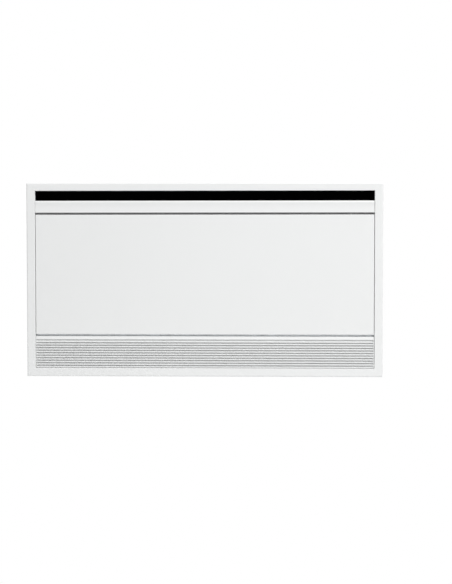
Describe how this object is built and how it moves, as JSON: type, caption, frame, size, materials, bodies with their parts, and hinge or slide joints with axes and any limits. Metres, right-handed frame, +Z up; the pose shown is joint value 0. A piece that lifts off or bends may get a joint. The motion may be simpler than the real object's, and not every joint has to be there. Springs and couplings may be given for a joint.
{
  "type": "recessed fan coil unit",
  "caption": "Slim fan coil unit recessed in a wall: steel box, white trim frame, outlet slot with tilting flap, pull-off front panel and hinged louvred intake grille.",
  "frame": {"origin": "middle of the four wall fixing holes, on the outer face of the recess box's back", "axes": "+X along the wall to the right as seen from the room, +Y into the wall, +Z up"},
  "size_m": [1.372, 0.154, 0.745],
  "materials": {
    "white_powder_coat": "smooth satin powder coat",
    "white_plastic": "fine satin",
    "galvanised_steel": "zinc spangle",
    "grey_primer": "matt pale grey primer",
    "black_duct": "matt black paint",
    "moulding": "closed-cell foam moulding",
    "fin_aluminium": "bare",
    "copper": "drawn tube",
    "brass": "machined",
    "zinc_fastener": "zinc plated",
    "magnet": "bare ferrite",
    "black_rubber": "matt",
    "impeller_plastic": "glass-filled",
    "motor_resin": "moulded resin",
    "grey_plastic": "fine grain",
    "nylon": "natural",
    "foam_sheet": "open-cell foam",
    "filter_net": "woven net",
    "board": "laminate",
    "terminals": "moulded"
  },
  "bodies": {
    "chassis": {"box_back": "galvanised_steel", "box_left": "galvanised_steel", "box_right": "galvanised_steel", "box_top": "galvanised_steel", "box_foot": "galvanised_steel", "front_frame": "white_powder_coat", "frame_clips": "zinc_fastener", "flap_bushes": "nylon", "upper_rail": "grey_primer", "lower_rail": "galvanised_steel", "panel_clips": "nylon", "grille_bushes": "nylon", "grille_magnets": "magnet", "end_plate_left": "galvanised_steel", "end_plate_right": "galvanised_steel", "chassis_pads": "black_rubber", "chassis_bolts": "zinc_fastener", "outlet_plenum": "black_duct", "fan_scroll": "moulding", "fan_tongue": "moulding", "fan_bearing": "zinc_fastener", "bearing_ring": "black_rubber", "fan_motor": "motor_resin", "motor_grommets": "black_rubber", "motor_screws": "zinc_fastener", "coil_fins": "fin_aluminium", "tube_sheet_left": "galvanised_steel", "tube_sheet_right": "galvanised_steel", "return_bends_left": "copper", "return_bends_right": "copper", "supply_header": "copper", "return_header": "copper", "supply_union": "brass", "return_union": "brass", "air_vent": "brass", "drip_tray": "grey_plastic", "drain_spigot": "grey_plastic", "tray_brackets": "galvanised_steel", "control_box": "grey_plastic", "control_cover": "grey_plastic", "cover_screws": "zinc_fastener", "circuit_board": "board", "terminal_block": "terminals", "motor_lead": "black_rubber", "cable_grommet": "black_rubber"},
    "flap": {"outlet_flap": "white_powder_coat", "flap_pins": "zinc_fastener"},
    "panel": {"front_panel": "white_powder_coat", "panel_stiffeners": "galvanised_steel", "panel_insulation": "foam_sheet", "panel_studs": "zinc_fastener"},
    "grille": {"intake_grille": "white_powder_coat", "grille_pins": "zinc_fastener", "grille_strikers": "zinc_fastener", "filter_frame": "grey_plastic", "filter_mesh": "filter_net"},
    "fan": {"fan_impeller": "impeller_plastic", "fan_shaft": "zinc_fastener"},
    "vent": {"vent_knob": "white_plastic"}
  },
  "joints": [
    {"name": "flap_tilt", "type": "hinge", "parent": "chassis", "child": "flap", "pos_m": [0, -0.1465, 0.2655], "axis": [1, 0, 0], "range_deg": [-20, 40]},
    {"name": "panel_pull", "type": "slide", "parent": "chassis", "child": "panel", "axis": [0, -1, 0], "range_m": [0, 0.25]},
    {"name": "grille_tilt", "type": "hinge", "parent": "chassis", "child": "grille", "pos_m": [0, -0.1475, -0.3277], "axis": [1, 0, 0], "range_deg": [0, 80]},
    {"name": "fan_spin", "type": "hinge", "parent": "chassis", "child": "fan", "pos_m": [0, -0.068, 0.132], "axis": [1, 0, 0], "continuous": true},
    {"name": "vent_turn", "type": "hinge", "parent": "chassis", "child": "vent", "pos_m": [-0.56, -0.09738, 0.05161], "axis": [0, -0.2588, 0.9659], "range_deg": [0, 180]}
  ]
}
